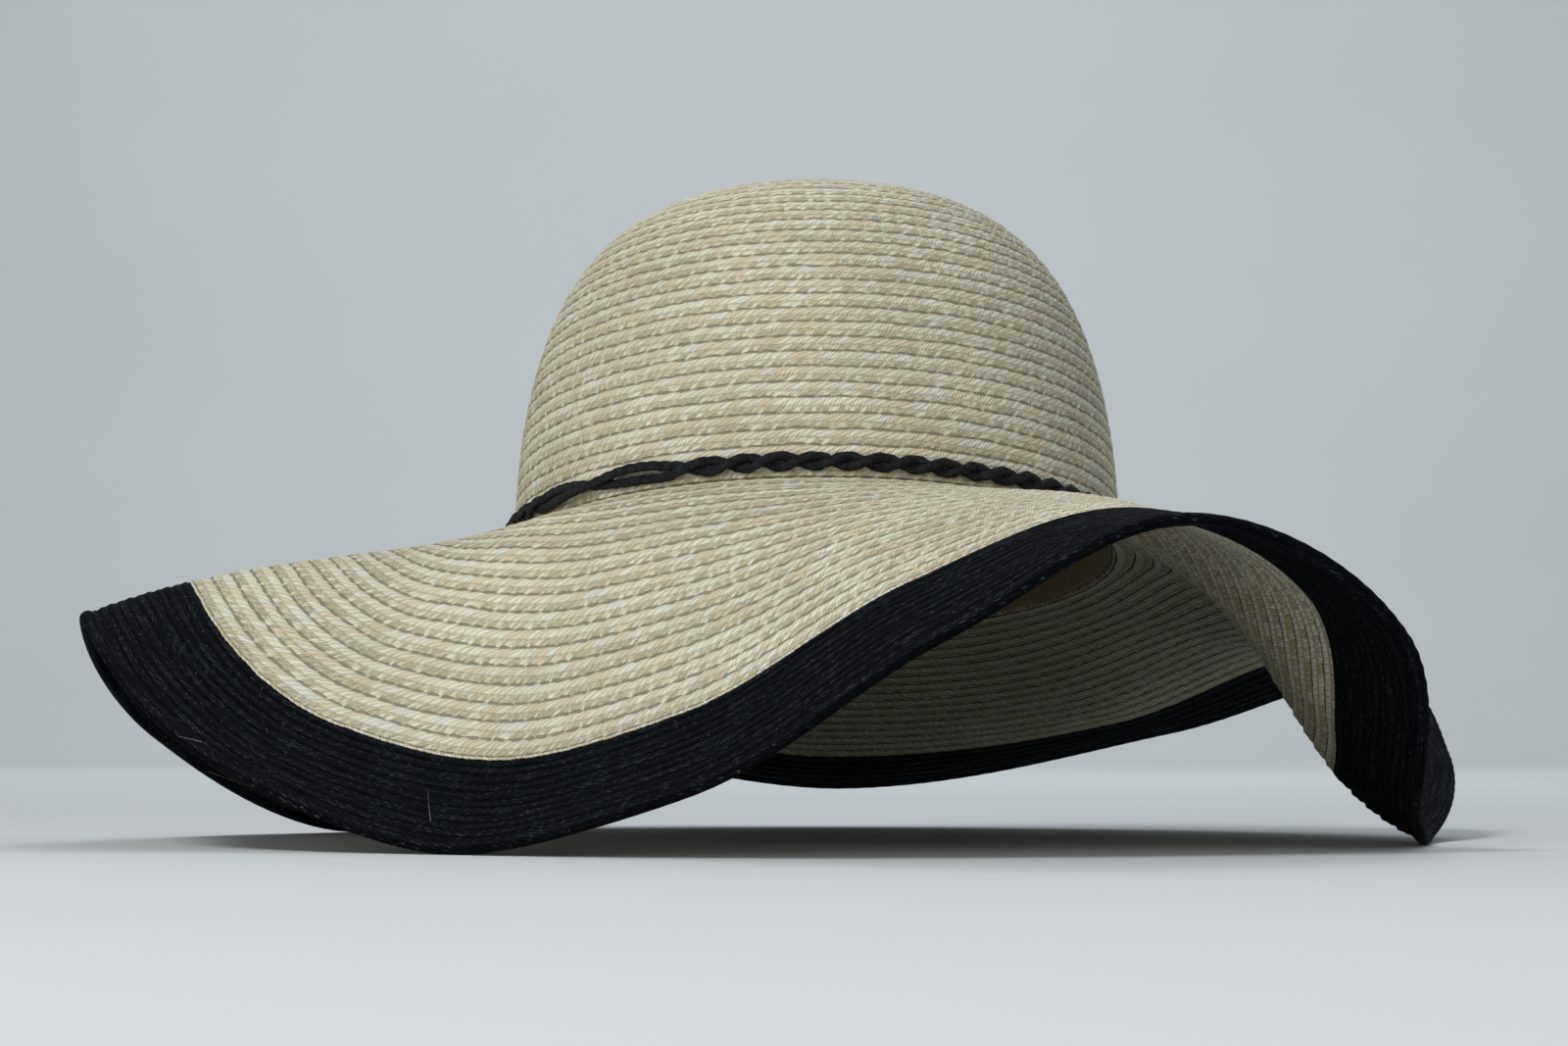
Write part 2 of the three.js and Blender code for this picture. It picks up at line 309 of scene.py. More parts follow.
def wall_edge(outer, inner, count, row, flip):
    """Faces and braid UVs between a ring of the outer side and a ring of the inner side."""
    around = len(outer)
    i = np.arange(around)
    order = [0, 3, 2, 1] if flip else [0, 1, 2, 3]
    faces = np.stack([outer, np.roll(outer, -1), np.roll(inner, -1), inner], 1)
    along = np.stack([i, i + 1, i + 1, i], 1) / around * count
    uvs = np.stack([along, np.full((around, 4), row)], -1)
    return faces[:, order], uvs[:, order]


def wall_tip(centre, ring, row, flip):
    """Faces and braid UVs between the centre of the crown's tip and its first ring."""
    around = len(ring)
    i = np.arange(around)
    order = [0, 2, 1] if flip else [0, 1, 2]
    faces = np.stack([np.full(around, centre), ring, np.roll(ring, -1)], 1)
    along = np.stack([np.zeros(around), i / around, (i + 1) / around], 1) * TIP_PLAITS
    return faces[:, order], np.stack([along, np.full((around, 3), row)], -1)


def wall_piece(name, grids, counts, materials, tip=False):
    """A closed wall between an outer and an inner grid of points, each with its row numbers."""
    (outer, outer_rows), (inner, inner_rows) = grids
    start = outer[..., 0].size
    above = np.arange(start).reshape(outer.shape[:2])
    below = start + np.arange(inner[..., 0].size).reshape(inner.shape[:2])
    points = [outer.reshape(-1, 3), inner.reshape(-1, 3)]
    last_row = outer_rows[-1] - EDGE_INSET
    parts = [
        (0, wall_side(above, outer_rows, counts, 0, False)),
        (1, wall_side(below, inner_rows, counts, INNER_SIDE_ROWS, True)),
        (0, wall_edge(above[:, -1], below[:, -1], counts[-1], last_row, True)),
    ]
    if tip:
        centre = start + inner[..., 0].size
        points += [outer[:, 0].mean(0)[None], inner[:, 0].mean(0)[None]]
        parts.append((0, wall_tip(centre, above[:, 0], TIP_ROW, False)))
        parts.append((1, wall_tip(centre + 1, below[:, 0], INNER_SIDE_ROWS + TIP_ROW, True)))
    else:
        first_row = outer_rows[0] + EDGE_INSET
        parts.append((0, wall_edge(above[:, 0], below[:, 0], counts[-1], first_row, False)))
    faces = [face for _, (part, _) in parts for face in part.tolist()]
    sides = np.concatenate([np.full(len(part), side) for side, (part, _) in parts])
    uvs = np.concatenate([part_uvs.reshape(-1, 2) for _, (_, part_uvs) in parts])
    return solid_piece(name, laid(np.concatenate(points)), faces, materials, sides, uvs)


def tube_piece(name, rings, along, across, material):
    """A closed strand from its rings of points, with UVs along it and around it."""
    steps, sides = rings.shape[:2]
    step, side = quads(steps, sides)
    faces = (step % steps) * sides + side % sides
    uvs = np.stack([along[step], side / sides * across], -1)
    return solid_piece(name, laid(rings), faces.tolist(), [material], uvs=uvs)


def solid_piece(name, vertices, faces, materials, sides=None, uvs=None):
    """A smooth mesh: sides are the material numbers of its faces, uvs those of their corners."""
    mesh = bpy.data.meshes.new(name)
    mesh.from_pydata(vertices.tolist(), [], faces)
    for material in materials:
        mesh.materials.append(material)
    if sides is not None:
        mesh.polygons.foreach_set("material_index", np.asarray(sides, np.int32))
    if uvs is not None:
        layer = mesh.uv_layers.new(name="braid")
        layer.data.foreach_set("uv", np.asarray(uvs, np.float32).ravel())
    mesh.polygons.foreach_set("use_smooth", np.ones(len(faces), bool))
    mesh.update()
    piece = bpy.data.objects.new(name, mesh)
    bpy.context.scene.collection.objects.link(piece)
    return piece


class Graph:
    """Adds nodes to a tree. Inputs are numbers, colours or the outputs of other nodes."""

    def __init__(self, tree):
        self.tree = tree

    def set(self, socket, value):
        if isinstance(value, bpy.types.NodeSocket):
            self.tree.links.new(value, socket)
        else:
            socket.default_value = value

    def node(self, kind, inputs=None, **settings):
        made = self.tree.nodes.new(kind)
        for key, value in settings.items():
            setattr(made, key, value)
        for key, value in (inputs or {}).items():
            self.set(made.inputs[key], value)
        return made

    def math(self, operation, *values):
        made = self.node("ShaderNodeMath", operation=operation)
        for socket, value in zip(made.inputs, values):
            self.set(socket, value)
        return made.outputs[0]

    def product(self, first, *values):
        for value in values:
            first = self.math("MULTIPLY", first, value)
        return first

    def smooth(self, value, low, high, to_low=0.0, to_high=1.0):
        """From to_low to to_high, while the value goes from low to high."""
        inputs = {"Value": value, "From Min": low, "From Max": high}
        inputs |= {"To Min": to_low, "To Max": to_high}
        made = self.node("ShaderNodeMapRange", inputs, interpolation_type="SMOOTHSTEP")
        return made.outputs["Result"]

    def ripple(self, value, operation="SINE", reach=0.5):
        """A wave between 0 and 1 that repeats with each whole number."""
        turn = self.math("MULTIPLY", value, 2 * math.pi)
        return self.math("MULTIPLY_ADD", self.math(operation, turn), reach, 0.5)

    def blend(self, share, first, second, mode="MIX"):
        made = self.node("ShaderNodeMix", data_type="RGBA", blend_type=mode)
        self.set(made.inputs["Factor"], share)
        self.set(made.inputs["A"], first)
        self.set(made.inputs["B"], second)
        return made.outputs["Result"]

    def vector(self, x, y, z=0.0):
        return self.node("ShaderNodeCombineXYZ", {"X": x, "Y": y, "Z": z}).outputs[0]

    def place(self):
        """The place on the piece, in metres."""
        return self.node("ShaderNodeTexCoord").outputs["Object"]

    def noise(self, vector, scale, detail=2.0, roughness=0.5, flat=False):
        inputs = {"Vector": vector, "Scale": scale, "Detail": detail, "Roughness": roughness}
        made = self.node("ShaderNodeTexNoise", inputs, noise_dimensions="2D" if flat else "3D")
        return made.outputs["Fac"]

    def chance(self, x, y, z):
        """A random number between 0 and 1 for each place."""
        inputs = {"Vector": self.vector(x, y, z)}
        made = self.node("ShaderNodeTexWhiteNoise", inputs, noise_dimensions="3D")
        return made.outputs["Value"]

    def bump(self, height, distance, strength=1.0):
        inputs = {"Height": height, "Distance": distance, "Strength": strength}
        return self.node("ShaderNodeBump", inputs).outputs["Normal"]

    def group(self, tree, inputs):
        return self.node("ShaderNodeGroup", inputs, node_tree=tree).outputs


def node_group(name, inputs, build):
    """A shader group: inputs maps names to default values, and build returns its outputs."""
    tree = bpy.data.node_groups.new(name, "ShaderNodeTree")
    for key, default in inputs.items():
        kind = "NodeSocketVector" if isinstance(default, tuple) else "NodeSocketFloat"
        socket = tree.interface.new_socket(key, in_out="INPUT", socket_type=kind)
        socket.default_value = default
    source = tree.nodes.new("NodeGroupInput")
    made = build(Graph(tree), {key: source.outputs[key] for key in inputs})
    for key in made:
        tree.interface.new_socket(key, in_out="OUTPUT", socket_type="NodeSocketFloat")
    sink = tree.nodes.new("NodeGroupOutput")
    for key, value in made.items():
        tree.links.new(value, sink.inputs[key])
    return tree


# Weave: strands and patches in one plait, and how far strands slant across a lobe. Its seams
# are lens-shaped gaps of painted shadow that strands bridge on the outside, and one line of
# painted shadow on the underside.
OUTSIDE_WEAVE = {
    "Strands": 6.0,
    "Strand Slant": 2.2,
    "Patches": 2.2,
    "Seam At": 0.93,
    "Seam Width": 0.11,
    "Bridges": 0.95,
}
UNDERSIDE_WEAVE = {
    "Strands": 4.0,
    "Strand Slant": 1.5,
    "Patches": 1.5,
    "Seam At": 0.0,
    "Seam Width": 0.075,
    "Bridges": 0.2,
}
LUMPS = 2.0
LUMP_SLANT = 1.4
LUMP_SEED = 7.0
PLAIT_SEED = 3.0
WANDER_SCALE = 0.8
WANDER = 0.5

# Masks, here and below: the two values of what they are made from between which they change,
# and then, unless they go from 0 to 1, what they are at these two
ROPE_EDGE = (0.46, 0.53, 1.0, 0.0)
PATCH_EDGE = (0.5, 0.62)
PATCH_SLANT = 0.5
PATCH_ROUNDING = 0.12
PATCH_LOBE_STEP = 3.3
PATCH_ROW_STEP = 7.31
SEAM_EDGE = (1.0, 0.5)
SEAM_UNEVENNESS = (0.0, 1.0, 0.7, 1.1)

# How high the parts of the braid stand out for the bumps
ROPE_STRAND_RISE = 0.4
ROPE_LUMP_RISE = 0.5
LATTICE_PLAIT_RISE = 0.45
LATTICE_STRAND_RISE = 0.12
LOBE_RISE = 0.7
SEAM_RISE = -0.8


def build_braid_pattern(g, given):
    """One row is a rope of slanted strands from 0 to 0.5 and a lattice of plaits from 0.5 to 1."""
    across = g.math("FRACT", given["Across"])
    row = g.math("FLOOR", given["Across"])
    wander = g.noise(g.vector(given["Along"], given["Across"]), WANDER_SCALE, 0.0, flat=True)
    unshifted = g.math("SUBTRACT", given["Along"], WANDER / 2)
    along = g.math("MULTIPLY_ADD", wander, WANDER, unshifted)
    in_lobe = g.math("FRACT", g.math("MULTIPLY", across, 2.0))
    dome = g.math("SINE", g.math("MULTIPLY", in_lobe, math.pi))
    is_rope = g.smooth(across, *ROPE_EDGE)

    slanted = g.math("MULTIPLY", in_lobe, given["Strand Slant"])
    strands = g.math("MULTIPLY_ADD", along, given["Strands"], slanted)
    strand = g.ripple(strands, "COSINE", -0.5)
    lumps = g.math("MULTIPLY_ADD", along, LUMPS, g.math("MULTIPLY", in_lobe, LUMP_SLANT))
    lump = g.ripple(lumps, "COSINE", -0.5)
    plaits = g.math("MULTIPLY_ADD", across, PLAIT_SLANT, along)
    puff = g.math("SINE", g.math("MULTIPLY", g.math("FRACT", plaits), math.pi))
    plait_chance = g.chance(g.math("FLOOR", plaits), row, PLAIT_SEED)
    row_chance = g.node("ShaderNodeTexWhiteNoise", {"W": row}, noise_dimensions="1D")

    patch_lobe = g.math("MULTIPLY_ADD", is_rope, PATCH_LOBE_STEP, row)
    patch_row = g.math("MULTIPLY", patch_lobe, PATCH_ROW_STEP)
    patch_slant = g.math("MULTIPLY", in_lobe, PATCH_SLANT)
    patch_along = g.math("MULTIPLY_ADD", along, given["Patches"], patch_slant)
    patch = g.noise(g.vector(patch_along, patch_row), 1.0, 1.0, flat=True)
    patch = g.smooth(g.math("MULTIPLY_ADD", dome, PATCH_ROUNDING, patch), *PATCH_EDGE)

    from_seam = g.math("PINGPONG", g.math("SUBTRACT", across, given["Seam At"]), 0.5)
    bridged = g.math("MULTIPLY", given["Bridges"], g.math("SUBTRACT", 1.0, puff))
    reach = g.product(
        given["Seam Width"],
        g.math("SUBTRACT", 1.0, bridged),
        g.smooth(plait_chance, *SEAM_UNEVENNESS),
    )
    seam = g.smooth(g.math("DIVIDE", from_seam, reach), *SEAM_EDGE)

    rope_lump = g.math("MULTIPLY", lump, ROPE_LUMP_RISE)
    rope_height = g.math("MULTIPLY_ADD", strand, ROPE_STRAND_RISE, rope_lump)
    low_strand = g.math("MULTIPLY", strand, LATTICE_STRAND_RISE)
    lattice_height = g.math("MULTIPLY_ADD", puff, LATTICE_PLAIT_RISE, low_strand)
    rise = g.math("SUBTRACT", rope_height, lattice_height)
    height = g.math("MULTIPLY_ADD", is_rope, rise, lattice_height)
    height = g.math("MULTIPLY_ADD", dome, LOBE_RISE, height)
    return {
        "Rope": is_rope,
        "Dome": dome,
        "Strand": strand,
        "Strand Chance": g.chance(g.math("FLOOR", strands), row, is_rope),
        "Lump": lump,
        "Lump Chance": g.chance(g.math("FLOOR", lumps), row, LUMP_SEED),
        "Patch": patch,
        "Row": row_chance.outputs["Value"],
        "Seam": seam,
        "Height": g.math("MULTIPLY_ADD", seam, SEAM_RISE, height),
    }


# Clouds and specks for each metre, and streaks of the fibres in one plait and in one row
CLOUD_SCALE = 22.0
SPECK_SCALE = 900.0
STREAKS = {"Streak Length": 0.3, "Streaks": 9.0}
STRAW_STREAKS = {"Streak Length": 0.4, "Streaks": 8.0}
DARK_STREAKS = {"Streak Length": 0.035, "Streaks": 9.0}


def build_yarn_fibres(g, given):
    """Fine streaks along the yarns, and clouds and specks over the whole hat."""
    along = g.math("MULTIPLY", given["Along"], given["Streak Length"])
    stretched = g.vector(along, given["Across"])
    return {
        "Streak": g.noise(stretched, given["Streaks"], 2.0, 0.6, flat=True),
        "Cloud": g.noise(given["Place"], CLOUD_SCALE, 2.0, 0.55),
        "Speck": g.noise(given["Place"], SPECK_SCALE, 1.0, 0.6),
    }


braid_pattern = node_group(
    "braid_pattern", {"Along": 0.0, "Across": 0.0, **OUTSIDE_WEAVE}, build_braid_pattern
)
yarn_fibres = node_group(
    "yarn_fibres",
    {"Along": 0.0, "Across": 0.0, "Place": (0.0, 0.0, 0.0), **STREAKS},
    build_yarn_fibres,
)


def new_material(name):
    """A new material with only its shader, and the graph to add nodes to it."""
    material = bpy.data.materials.new(name)
    material.use_nodes = True
    material.node_tree.nodes.clear()
    g = Graph(material.node_tree)
    shader = g.node("ShaderNodeBsdfPrincipled")
    g.node("ShaderNodeOutputMaterial", {"Surface": shader.outputs[0]})
    return material, g, shader


def fibre_nodes(g, streaks=STREAKS):
    """The place along and across a row or a yarn, and its fibres."""
    uv = g.node("ShaderNodeUVMap", uv_map="braid")
    split = g.node("ShaderNodeSeparateXYZ", {"Vector": uv.outputs[0]})
    along, across = split.outputs["X"], split.outputs["Y"]
    inputs = {"Along": along, "Across": across, "Place": g.place(), **streaks}
    return along, across, g.group(yarn_fibres, inputs)


def braid_nodes(g, weave, streaks):
    """The place along and across a row, its braid pattern and its fibres."""
    along, across, fibres = fibre_nodes(g, streaks)
    braid = g.group(braid_pattern, {"Along": along, "Across": across, **weave})
    return along, across, braid, fibres


# Natural straw: colours, as light that it gives back
STRAW_PALE = (0.78, 0.775, 0.65, 1.0)
STRAW_CREAM = (0.70, 0.64, 0.455, 1.0)
STRAW_PEACH = (0.68, 0.55, 0.345, 1.0)
# Olive: the lattice's darker yarn, partly its own colour and partly painted shade
STRAW_OLIVE_WITH_SHADE = (0.43, 0.39, 0.255, 1.0)
STRAW_GOLD = (0.46, 0.38, 0.185, 1.0)
# Painted shadow in the seam gaps between rows: olive-grey dashes outside, a blue-black line
# underneath
OUTSIDE_SEAM_SHADOW = (0.2, 0.18, 0.12, 1.0)
UNDERSIDE_SEAM_SHADOW = (0.02, 0.023, 0.025, 1.0)

# Natural straw: masks, and shares of one colour in another
PALE_EDGE = (0.22, 0.6)
PEACH_EDGE = (0.1, 0.5)
PEACH_BY_LUMP = -0.5
STRIPE_AT = 0.58
STRIPE_EDGE = (0.1, 0.03)
PATCH_FIBRES = (0.4, 0.62, 1.0, 0.6)
LATTICE_CREAM = 0.35
SEAM_SHADOW_SHARE = 0.9

# Natural straw: painted shade between strands and lumps, random tone by row, as factor and base;
# painted shade at the lobe edges, random tone in clouds and roughness as masks; bumps in metres
STRAND_PAINTED_SHADE = (0.32, 0.72)
LUMP_PAINTED_SHADE = (0.2, 0.83)
ROW_TONE = (0.08, 0.96)
LOBE_EDGE_PAINTED_SHADE = (0.0, 0.5, 0.78, 1.0)
CLOUD_TONE = (0.3, 0.7, 0.92, 1.05)
STRAW_ROUGHNESS = (0.3, 0.7, 0.85, 0.62)
STRAW_SPECK_RISE = 0.3
STRAW_BUMP = 0.0003
STRAW_BUMP_STRENGTH = 0.9


def straw_material(name, weave, patch_colour, seam_shadow_colour, gold_line_and_valley_shade_share, peach_share):
    """Natural braid. The high lobe is a rope of pale and cream strands, some of them peach. The
    low lobe has darker patches, pale strands that cross between them and long thin fibres.
    Painted shade darkens the gaps between strands and lumps and the lobe edges; on the outside
    the patches and a stripe by the valley are olive, partly painted shade, and the seams are
    painted shadow on both sides."""
    material, g, shader = new_material(name)
    _, across, braid, fibres = braid_nodes(g, weave, STRAW_STREAKS)
    half_streak = g.math("MULTIPLY", fibres["Streak"], 0.5)
    pale = g.math("MULTIPLY_ADD", braid["Strand Chance"], 0.5, half_streak)
    rope = g.blend(g.smooth(pale, *PALE_EDGE), STRAW_CREAM, STRAW_PALE)
    peach = g.math("MULTIPLY_ADD", braid["Lump"], PEACH_BY_LUMP, braid["Lump Chance"])
    rope = g.blend(g.smooth(peach, *PEACH_EDGE, 0.0, peach_share), rope, STRAW_PEACH)

    # A stripe just past the valley between the lobes: painted shade in olive outside, a dark gold
    # line underneath
    from_stripe = g.math("SUBTRACT", g.math("FRACT", across), STRIPE_AT)
    stripe = g.smooth(g.math("ABSOLUTE", from_stripe), *STRIPE_EDGE)
    patch = g.math("MULTIPLY", braid["Patch"], g.smooth(fibres["Streak"], *PATCH_FIBRES))
    patch = g.math("MAXIMUM", patch, g.math("MULTIPLY", stripe, gold_line_and_valley_shade_share))
    lattice = g.blend(patch, g.blend(LATTICE_CREAM, rope, STRAW_CREAM), patch_colour)
    colour = g.blend(braid["Rope"], lattice, rope)
    # painted shade between strands, between lumps and at the lobe edges, times random tone
    painted_shade_and_tone = g.product(
        g.math("MULTIPLY_ADD", braid["Strand"], *STRAND_PAINTED_SHADE),
        g.math("MULTIPLY_ADD", braid["Lump"], *LUMP_PAINTED_SHADE),
        g.smooth(braid["Dome"], *LOBE_EDGE_PAINTED_SHADE),
        g.smooth(fibres["Cloud"], *CLOUD_TONE),
        g.math("MULTIPLY_ADD", braid["Row"], *ROW_TONE),
    )
    colour = g.blend(1.0, colour, g.vector(painted_shade_and_tone, painted_shade_and_tone, painted_shade_and_tone), "MULTIPLY")
    # painted shadow in the seam gaps
    colour = g.blend(g.math("MULTIPLY", braid["Seam"], SEAM_SHADOW_SHARE), colour, seam_shadow_colour)
    g.set(shader.inputs["Base Color"], colour)
    g.set(shader.inputs["Roughness"], g.smooth(fibres["Streak"], *STRAW_ROUGHNESS))
    height = g.math("MULTIPLY_ADD", fibres["Speck"], STRAW_SPECK_RISE, braid["Height"])
    g.set(shader.inputs["Normal"], g.bump(height, STRAW_BUMP, STRAW_BUMP_STRENGTH))
    shader.inputs["Specular IOR Level"].default_value = 0.3
    return material


# Dark straw: colours, with painted sheen for the ridges, painted glints and painted shadow for the
# seams, then the fine lines across one row and how far they slant in one plait
DARK_STRAW = (0.0026, 0.0036, 0.0046, 1.0)
DARK_STRAW_RIDGE_SHEEN = (0.0045, 0.0063, 0.0077, 1.0)
DARK_STRAW_PAINTED_GLINT = (0.045, 0.054, 0.062, 1.0)
DARK_STRAW_SPECK_GLINT = (0.09, 0.095, 0.095, 1.0)
DARK_SEAM_SHADOW = (0.002, 0.002, 0.003, 1.0)
DARK_SEAM_SHADOW_SHARE = 0.85
DARK_LINES = 7
DARK_SLANT = 1.5
DARK_WOBBLE = 2.2

# Dark straw: masks of the painted sheen and glints, roughness and bumps
RIDGE_SHEEN_EDGE = (0.5, 1.0)
GLINT_SHARPNESS = 3.0
GLINT_FIBRES = (0.46, 0.66)
GLINT_STRANDS = (0.3, 0.8, 0.25, 1.0)
DARK_SPECK_GLINTS = (0.68, 0.8, 0.0, 0.5)
DARK_ROUGHNESS = (0.3, 0.7, 0.9, 0.7)
DARK_LINE_RISE = 0.9
DARK_BRAID_RISE = 0.5
DARK_SPECK_RISE = 0.35
DARK_BUMP = 0.00025
DARK_BUMP_STRENGTH = 0.9


def dark_straw_material(name, weave):
    """Blue-black braid: fine slanted lines along the rows with faint painted grey-blue glints,
    painted glint specks, painted sheen on the ridges and painted shadow in the seams.
    """
    material, g, shader = new_material(name)
    along, across, braid, fibres = braid_nodes(g, weave, DARK_STREAKS)
    way = g.math("MULTIPLY_ADD", braid["Rope"], 2.0, -1.0)
    slanted = g.math("MULTIPLY", along, g.math("MULTIPLY", way, 2 * math.pi * DARK_SLANT))
    wobble = g.math("MULTIPLY_ADD", fibres["Streak"], DARK_WOBBLE, slanted)
    turn = g.math("MULTIPLY_ADD", across, 2 * math.pi * DARK_LINES, wobble)
    line = g.math("MULTIPLY_ADD", g.math("COSINE", turn), 0.5, 0.5)
    # painted glints along the fine lines
    painted_glint = g.product(
        g.math("POWER", line, GLINT_SHARPNESS),
        g.smooth(fibres["Streak"], *GLINT_FIBRES),
        g.smooth(braid["Strand Chance"], *GLINT_STRANDS),
    )
    # painted sheen on the ridge tops
    painted_ridge_sheen = g.blend(g.smooth(braid["Dome"], *RIDGE_SHEEN_EDGE), DARK_STRAW, DARK_STRAW_RIDGE_SHEEN)
    colour = g.blend(painted_glint, painted_ridge_sheen, DARK_STRAW_PAINTED_GLINT)
    # painted glint specks
    colour = g.blend(g.smooth(fibres["Speck"], *DARK_SPECK_GLINTS), colour, DARK_STRAW_SPECK_GLINT)
    # painted shadow in the seam gaps
    colour = g.blend(g.math("MULTIPLY", braid["Seam"], DARK_SEAM_SHADOW_SHARE), colour, DARK_SEAM_SHADOW)
    g.set(shader.inputs["Base Color"], colour)
    g.set(shader.inputs["Roughness"], g.smooth(fibres["Streak"], *DARK_ROUGHNESS))
    braid_height = g.math("MULTIPLY", braid["Height"], DARK_BRAID_RISE)
    height = g.math("MULTIPLY_ADD", line, DARK_LINE_RISE, braid_height)
    height = g.math("MULTIPLY_ADD", fibres["Speck"], DARK_SPECK_RISE, height)
    g.set(shader.inputs["Normal"], g.bump(height, DARK_BUMP, DARK_BUMP_STRENGTH))
    shader.inputs["Specular IOR Level"].default_value = 0.03
    return material


# Cord: colours, the lighter one a painted glint, its yarns for one UV along and around a strand,
# masks and bumps
CORD_DARK = (0.0035, 0.0035, 0.0045, 1.0)
CORD_PAINTED_GLINT = (0.028, 0.029, 0.033, 1.0)
YARNS_ALONG = 3.0
YARNS_AROUND = 2.0
CORD_GLINT_SPECKS = (0.35, 0.75)
CORD_ROUGHNESS = (0.3, 0.7, 0.7, 0.5)
CORD_SPECK_RISE = 0.6
CORD_BUMP = 0.00012


def cord_material():
    """Black twisted cord: the plies are in its shape, the fine yarn is here, with painted glints
    on its crests.
    """
    material, g, shader = new_material("black_cord")
    along, across, fibres = fibre_nodes(g)
    yarns_around = g.math("MULTIPLY", across, YARNS_AROUND)
    yarn = g.ripple(g.math("ADD", g.math("MULTIPLY", along, YARNS_ALONG), yarns_around))
    # painted glints on the yarn crests, at scattered specks
    painted_glint = g.math("MULTIPLY", yarn, g.smooth(fibres["Speck"], *CORD_GLINT_SPECKS))
    g.set(shader.inputs["Base Color"], g.blend(painted_glint, CORD_DARK, CORD_PAINTED_GLINT))
    g.set(shader.inputs["Roughness"], g.smooth(fibres["Speck"], *CORD_ROUGHNESS))
    height = g.math("ADD", yarn, g.math("MULTIPLY", fibres["Speck"], CORD_SPECK_RISE))
    g.set(shader.inputs["Normal"], g.bump(height, CORD_BUMP))
    shader.inputs["Specular IOR Level"].default_value = 0.18
    return material


# Ribbon: lit and shaded copies of its tan for painted light and shade on the ribs, a worn colour,
# the threads in its height, masks and bumps
RIBBON_SHADED_TAN = (0.20, 0.145, 0.075, 1.0)
RIBBON_LIT_TAN = (0.38, 0.29, 0.165, 1.0)
RIBBON_WORN = (0.27, 0.195, 0.105, 1.0)
RIBBON_THREADS = 70
WORN_CLOUDS = (0.35, 0.7, 0.0, 0.35)
RIBBON_ROUGHNESS = (0.3, 0.7, 0.9, 0.75)
RIBBON_THREAD_RISE = 0.12
RIBBON_SPECK_RISE = 0.3
RIBBON_BUMP = 0.00015


def ribbon_material():
    """Tan grosgrain ribbon with fine ribs across it, lighter on their crests and darker in their
    hollows as painted light and shade.
    """
    material, g, shader = new_material("tan_grosgrain")
    along, across, fibres = fibre_nodes(g)
    rib = g.ripple(along)
    thread = g.math("SINE", g.math("MULTIPLY", across, 2 * math.pi * RIBBON_THREADS))
    # painted light on the rib crests and painted shade in the hollows
    colour = g.blend(rib, RIBBON_SHADED_TAN, RIBBON_LIT_TAN)
    colour = g.blend(g.smooth(fibres["Cloud"], *WORN_CLOUDS), colour, RIBBON_WORN)
    g.set(shader.inputs["Base Color"], colour)
    g.set(shader.inputs["Roughness"], g.smooth(fibres["Speck"], *RIBBON_ROUGHNESS))
    height = g.math("MULTIPLY_ADD", thread, RIBBON_THREAD_RISE, rib)
    height = g.math("MULTIPLY_ADD", fibres["Speck"], RIBBON_SPECK_RISE, height)
    g.set(shader.inputs["Normal"], g.bump(height, RIBBON_BUMP))
    shader.inputs["Specular IOR Level"].default_value = 0.25
    shader.inputs["Sheen Weight"].default_value = 0.2
    return material


HAIR_SPOTS = 260.0
HAIR_ROUGHNESS = (0.3, 0.7, 0.7, 0.45)


def hair_material(name, dark, light):
    """A stray fibre with lighter and darker stretches."""
    material, g, shader = new_material(name)
    share = g.noise(g.place(), HAIR_SPOTS)
    g.set(shader.inputs["Base Color"], g.blend(share, dark, light))
    g.set(shader.inputs["Roughness"], g.smooth(share, *HAIR_ROUGHNESS))
    return material


straw_outside = straw_material(
    "natural_straw_outside",
    OUTSIDE_WEAVE,
    # olive patches and valley stripe, partly painted shade
    STRAW_OLIVE_WITH_SHADE,
    OUTSIDE_SEAM_SHADOW,
    gold_line_and_valley_shade_share=0.4,
    peach_share=0.7,
)
straw_underside = straw_material(
    "natural_straw_underside",
    UNDERSIDE_WEAVE,
    STRAW_GOLD,
    UNDERSIDE_SEAM_SHADOW,
    gold_line_and_valley_shade_share=0.8,
    peach_share=0.3,
)
dark_outside = dark_straw_material("dark_straw_outside", OUTSIDE_WEAVE)
dark_underside = dark_straw_material("dark_straw_underside", UNDERSIDE_WEAVE)
black_cord = cord_material()
tan_ribbon = ribbon_material()
pale_hair = hair_material("pale_hair", (0.5, 0.47, 0.38, 1.0), (0.72, 0.69, 0.6, 1.0))
dark_hair = hair_material("dark_hair", (0.012, 0.013, 0.016, 1.0), (0.07, 0.075, 0.085, 1.0))


def relief(turns, rows, heights, counts, puff, scallop):
    """Heights over the half wall and shifts across the row for a table of rings."""
    wave = plait_wave(turns, rows, counts)
    share = rows - whole_rows(rows)
    on_row = np.sin(math.pi * np.clip(share, 0, 1))
    at_seam = np.clip(1 - SEAM_STEEPNESS * np.minimum(share, 1 - share), 0, 1)
    near_edge = np.clip(1 - SCALLOP_STEEPNESS * np.abs(share - SCALLOP_AT), 0, 1)
    height = heights[None] + puff * wave * on_row[None]
    height = height - SEAM_CLOSURE * wave * at_seam[None] * (puff / PLAIT_PUFF)
    return height, scallop * wave * near_edge[None]


def wavy_noise(azimuth, strength, finest=40):
    """Smooth irregular shifts around the head, the same each run."""
    turn = np.radians(azimuth)
    total = np.zeros(len(azimuth))
    for _ in range(NOISE_WAVES):
        total += np.sin(rng.integers(BROADEST_WAVE, finest) * turn + rng.uniform(0, 2 * math.pi))
    return total * strength / math.sqrt(NOISE_WAVES)


